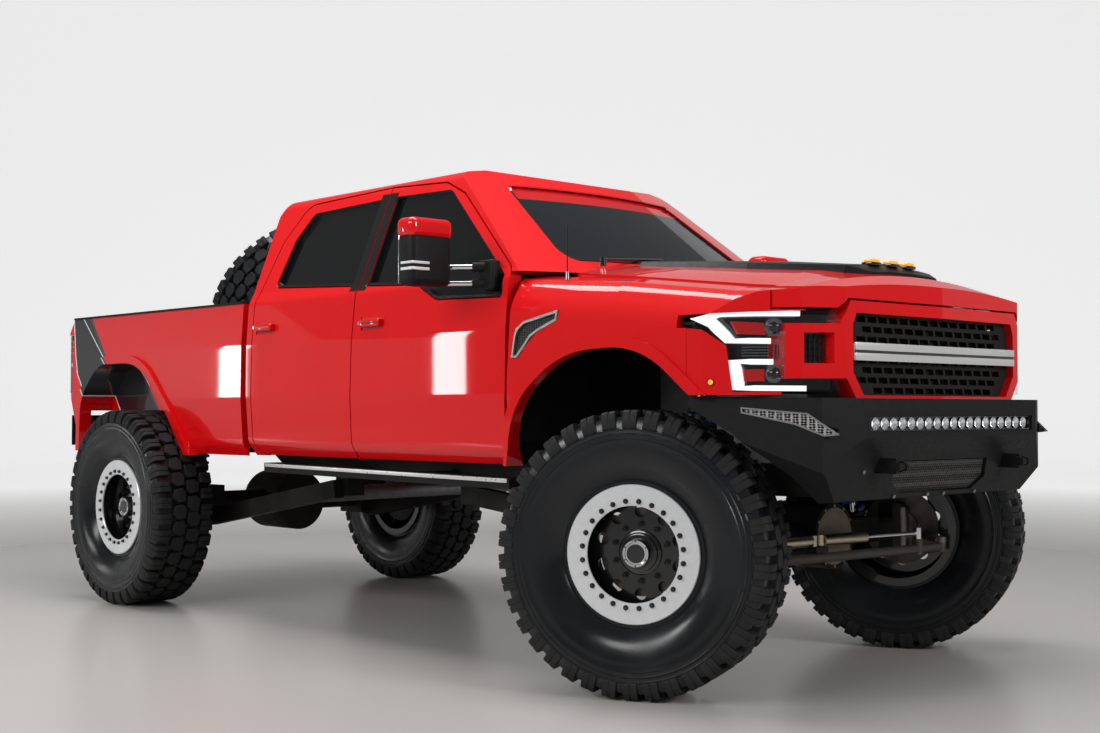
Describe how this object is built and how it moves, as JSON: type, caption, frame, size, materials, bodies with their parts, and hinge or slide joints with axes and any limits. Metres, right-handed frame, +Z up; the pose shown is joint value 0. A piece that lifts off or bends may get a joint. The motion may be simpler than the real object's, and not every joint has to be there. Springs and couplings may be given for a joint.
{
  "type": "lifted crew-cab pickup truck",
  "caption": "Lifted crew-cab pickup truck on oversized off-road tyres, with opening doors, hood and tailgate, steering front wheels, a load bed and a spare wheel lying in it.",
  "frame": {"origin": "on the ground, at the middle of the truck's length and width", "axes": "+X forward, +Y to the truck's left, +Z up"},
  "size_m": [6.109, 2.7032, 2.366],
  "materials": {
    "axle_tan": "satin",
    "black_paint": "gloss",
    "black_plastic": "matte",
    "bright_metal": "brushed",
    "chassis_black": "satin",
    "clear_glass": "gloss",
    "damper_gold": "satin",
    "lamp": "gloss",
    "matte_black": "matte",
    "mesh_black": "satin",
    "red_paint": "gloss",
    "seat_cloth": "matte",
    "spring_blue": "gloss",
    "steel": "satin",
    "tail_red": "gloss",
    "tinted_glass": "gloss",
    "trim": "matte",
    "tyre_rubber": "satin",
    "wheel_black": "gloss"
  },
  "bodies": {
    "chassis": {"bed_box": "red_paint", "bed_caps": "black_plastic", "cab_glass": "clear_glass", "cab_shell": "red_paint", "coilovers": "spring_blue", "dashboard": "trim", "driveline": "steel", "engine_block": "steel", "fender_left": "red_paint", "fender_right": "red_paint", "frame_rails": "chassis_black", "front_axle": "axle_tan", "front_bumper": "matte_black", "grille_bar": "bright_metal", "grille_mesh": "mesh_black", "grille_surround": "red_paint", "headlamps": "lamp", "light_bar": "lamp", "rear_axle": "chassis_black", "rear_bumper": "matte_black", "seats": "seat_cloth", "side_steps": "matte_black", "spare_wheel": "tyre_rubber", "suspension_arms": "chassis_black", "tail_lamps": "tail_red", "tow_shackles": "chassis_black", "wheel_liners": "black_plastic"},
    "hood": {"hood": "red_paint", "hood_cowl": "black_paint"},
    "tailgate": {"tailgate": "red_paint"},
    "tie_rod": {"tie_rod": "chassis_black"},
    "front_door_left": {"front_door_left": "red_paint", "front_glass_left": "tinted_glass", "mirror_left": "red_paint"},
    "rear_door_left": {"rear_door_left": "red_paint", "rear_glass_left": "tinted_glass"},
    "front_wheel_left": {"tyre_front_left": "tyre_rubber", "rim_front_left": "wheel_black"},
    "rear_wheel_left": {"tyre_rear_left": "tyre_rubber", "rim_rear_left": "wheel_black"},
    "knuckle_left": {"knuckle_left": "steel"},
    "damper_left": {"damper_left": "damper_gold"},
    "damper_shaft_left": {"damper_shaft_left": "bright_metal"},
    "front_door_right": {"front_door_right": "red_paint", "front_glass_right": "tinted_glass", "mirror_right": "red_paint"},
    "rear_door_right": {"rear_door_right": "red_paint", "rear_glass_right": "tinted_glass"},
    "front_wheel_right": {"tyre_front_right": "tyre_rubber", "rim_front_right": "wheel_black"},
    "rear_wheel_right": {"tyre_rear_right": "tyre_rubber", "rim_rear_right": "wheel_black"},
    "knuckle_right": {"knuckle_right": "steel"},
    "damper_right": {"damper_right": "damper_gold"},
    "damper_shaft_right": {"damper_shaft_right": "bright_metal"}
  },
  "joints": [
    {"name": "steer_left", "type": "hinge", "parent": "chassis", "child": "knuckle_left", "pos_m": [2.1215, 0.912, 0.577], "axis": [0, 0, 1], "range_deg": [-55, 5]},
    {"name": "steer_right", "type": "hinge", "parent": "chassis", "child": "knuckle_right", "pos_m": [2.1215, -0.912, 0.577], "axis": [0, 0, 1], "range_deg": [-55, 5]},
    {"name": "front_wheel_left", "type": "hinge", "parent": "knuckle_left", "child": "front_wheel_left", "pos_m": [2.1046, 0.94825, 0.577], "axis": [-0.4226, 0.9063, 0], "continuous": true},
    {"name": "rear_wheel_left", "type": "hinge", "parent": "chassis", "child": "rear_wheel_left", "pos_m": [-1.9375, 1.033, 0.577], "axis": [0, 1, 0], "continuous": true},
    {"name": "front_wheel_right", "type": "hinge", "parent": "knuckle_right", "child": "front_wheel_right", "pos_m": [2.13841, -0.94825, 0.577], "axis": [-0.4226, 0.9063, 0], "continuous": true},
    {"name": "rear_wheel_right", "type": "hinge", "parent": "chassis", "child": "rear_wheel_right", "pos_m": [-1.9375, -1.033, 0.577], "axis": [0, 1, 0], "continuous": true},
    {"name": "tie_rod_pivot", "type": "hinge", "parent": "knuckle_left", "child": "tie_rod", "pos_m": [2.39031, 0.84426, 0.5], "axis": [0, 0, 1], "range_deg": [-6.13, 67.39]},
    {"name": "damper_left_pivot", "type": "hinge", "parent": "chassis", "child": "damper_left", "pos_m": [2.2935, 0.025, 0.575], "axis": [0, 0, 1], "range_deg": [-0.98, 10.74]},
    {"name": "damper_left_stroke", "type": "slide", "parent": "damper_left", "child": "damper_shaft_left", "axis": [0.1225, 0.9925, 0], "range_m": [-0.20921, 0.01902]},
    {"name": "damper_right_pivot", "type": "hinge", "parent": "chassis", "child": "damper_right", "pos_m": [2.2935, -0.025, 0.575], "axis": [0, 0, 1], "range_deg": [-1.24, 13.6]},
    {"name": "damper_right_stroke", "type": "slide", "parent": "damper_right", "child": "damper_shaft_right", "axis": [-0.0735, -0.9973, 0], "range_m": [-0.01902, 0.20921]},
    {"name": "front_door_left", "type": "hinge", "parent": "chassis", "child": "front_door_left", "pos_m": [1.3795, 1.003, 1.4], "axis": [0, 0, -1], "range_deg": [0, 65]},
    {"name": "rear_door_left", "type": "hinge", "parent": "chassis", "child": "rear_door_left", "pos_m": [0.1875, 1.003, 1.4], "axis": [0, 0, -1], "range_deg": [0, 65]},
    {"name": "front_door_right", "type": "hinge", "parent": "chassis", "child": "front_door_right", "pos_m": [1.3795, -1.003, 1.4], "axis": [0, 0, 1], "range_deg": [0, 65]},
    {"name": "rear_door_right", "type": "hinge", "parent": "chassis", "child": "rear_door_right", "pos_m": [0.1875, -1.003, 1.4], "axis": [0, 0, 1], "range_deg": [0, 65]},
    {"name": "hood_hinge", "type": "hinge", "parent": "chassis", "child": "hood", "pos_m": [1.5815, 0, 1.843], "axis": [0, -1, 0], "range_deg": [0, 50]},
    {"name": "tailgate_hinge", "type": "hinge", "parent": "chassis", "child": "tailgate", "pos_m": [-2.9065, 0, 1.203], "axis": [0, -1, 0], "range_deg": [0, 90]}
  ],
  "couplings": [
    {"joint": "steer_right", "follows": "steer_left", "ratio": 1},
    {"joint": "tie_rod_pivot", "follows": "steer_left", "ratio": -1.224},
    {"joint": "damper_left_pivot", "follows": "steer_left", "ratio": -0.195},
    {"joint": "damper_left_stroke", "follows": "steer_left", "m_per_rad": 0.21772},
    {"joint": "damper_right_pivot", "follows": "steer_left", "ratio": -0.247},
    {"joint": "damper_right_stroke", "follows": "steer_left", "m_per_rad": -0.21772}
  ]
}
